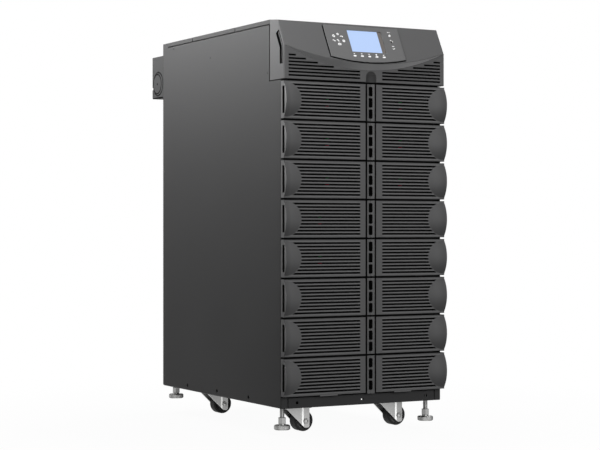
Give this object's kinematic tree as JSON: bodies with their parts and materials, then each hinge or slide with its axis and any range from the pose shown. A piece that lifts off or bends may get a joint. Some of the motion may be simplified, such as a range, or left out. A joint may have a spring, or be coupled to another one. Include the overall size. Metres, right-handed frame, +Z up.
{
  "type": "modular ups cabinet",
  "caption": "Tower cabinet on swivel casters with stacked plug-in module bezels, a centre vent strip and a sloping control head with a screen.",
  "frame": {"origin": "on the floor, under the middle of the cabinet's outline", "axes": "+X to the right of the front, +Y to the back, +Z up; the module bezels face -Y"},
  "size_m": [0.44, 0.7667, 0.97],
  "materials": {
    "grey_paint": "satin powder coat",
    "black_paint": "matt",
    "grey_plastic": "fine grain",
    "panel_plastic": "satin film",
    "screen": "lit screen",
    "white_plastic": "satin",
    "zinc": "zinc plated",
    "black_rubber": "matt"
  },
  "bodies": {
    "cabinet": {"base_pan": "grey_paint", "front_plate": "black_paint", "left_side_panel": "grey_paint", "right_side_panel": "grey_paint", "top_cover": "grey_paint", "back_panel": "grey_paint", "wiring_box": "grey_paint", "wiring_box_cover": "grey_paint", "knockouts": "grey_paint", "head_bezel": "grey_plastic", "control_panel": "panel_plastic", "display": "screen", "buttons": "white_plastic", "vent_strips": "grey_plastic", "module_housings": "black_paint", "levelling_feet": "zinc", "lock_nuts": "zinc", "caster_plates": "zinc", "left_bezel_1": "grey_plastic", "right_bezel_1": "grey_plastic", "left_bezel_2": "grey_plastic", "right_bezel_2": "grey_plastic", "left_bezel_3": "grey_plastic", "right_bezel_3": "grey_plastic", "left_bezel_4": "grey_plastic", "right_bezel_4": "grey_plastic", "left_bezel_5": "grey_plastic", "right_bezel_5": "grey_plastic", "left_bezel_6": "grey_plastic", "right_bezel_6": "grey_plastic", "left_bezel_7": "grey_plastic", "right_bezel_7": "grey_plastic", "left_bezel_8": "grey_plastic", "right_bezel_8": "grey_plastic"},
    "front_left_fork_body": {"front_left_fork": "zinc", "front_left_axle": "zinc"},
    "front_left_wheel_body": {"front_left_wheel": "black_rubber"},
    "front_right_fork_body": {"front_right_fork": "zinc", "front_right_axle": "zinc"},
    "front_right_wheel_body": {"front_right_wheel": "black_rubber"},
    "back_left_fork_body": {"back_left_fork": "zinc", "back_left_axle": "zinc"},
    "back_left_wheel_body": {"back_left_wheel": "black_rubber"},
    "back_right_fork_body": {"back_right_fork": "zinc", "back_right_axle": "zinc"},
    "back_right_wheel_body": {"back_right_wheel": "black_rubber"}
  },
  "joints": [
    {"name": "front_left_swivel", "type": "hinge", "parent": "cabinet", "child": "front_left_fork_body", "pos_m": [-0.13, -0.24365, 0.058], "axis": [0, 0, 1], "continuous": true},
    {"name": "front_left_roll", "type": "hinge", "parent": "front_left_fork_body", "child": "front_left_wheel_body", "pos_m": [-0.109, -0.24365, 0.025], "axis": [0, 1, 0], "continuous": true},
    {"name": "front_right_swivel", "type": "hinge", "parent": "cabinet", "child": "front_right_fork_body", "pos_m": [0.13, -0.24365, 0.058], "axis": [0, 0, 1], "continuous": true},
    {"name": "front_right_roll", "type": "hinge", "parent": "front_right_fork_body", "child": "front_right_wheel_body", "pos_m": [0.151, -0.24365, 0.025], "axis": [0, 1, 0], "continuous": true},
    {"name": "back_left_swivel", "type": "hinge", "parent": "cabinet", "child": "back_left_fork_body", "pos_m": [-0.13, 0.19435, 0.058], "axis": [0, 0, 1], "continuous": true},
    {"name": "back_left_roll", "type": "hinge", "parent": "back_left_fork_body", "child": "back_left_wheel_body", "pos_m": [-0.109, 0.19435, 0.025], "axis": [0, 1, 0], "continuous": true},
    {"name": "back_right_swivel", "type": "hinge", "parent": "cabinet", "child": "back_right_fork_body", "pos_m": [0.13, 0.19435, 0.058], "axis": [0, 0, 1], "continuous": true},
    {"name": "back_right_roll", "type": "hinge", "parent": "back_right_fork_body", "child": "back_right_wheel_body", "pos_m": [0.151, 0.19435, 0.025], "axis": [0, 1, 0], "continuous": true}
  ]
}
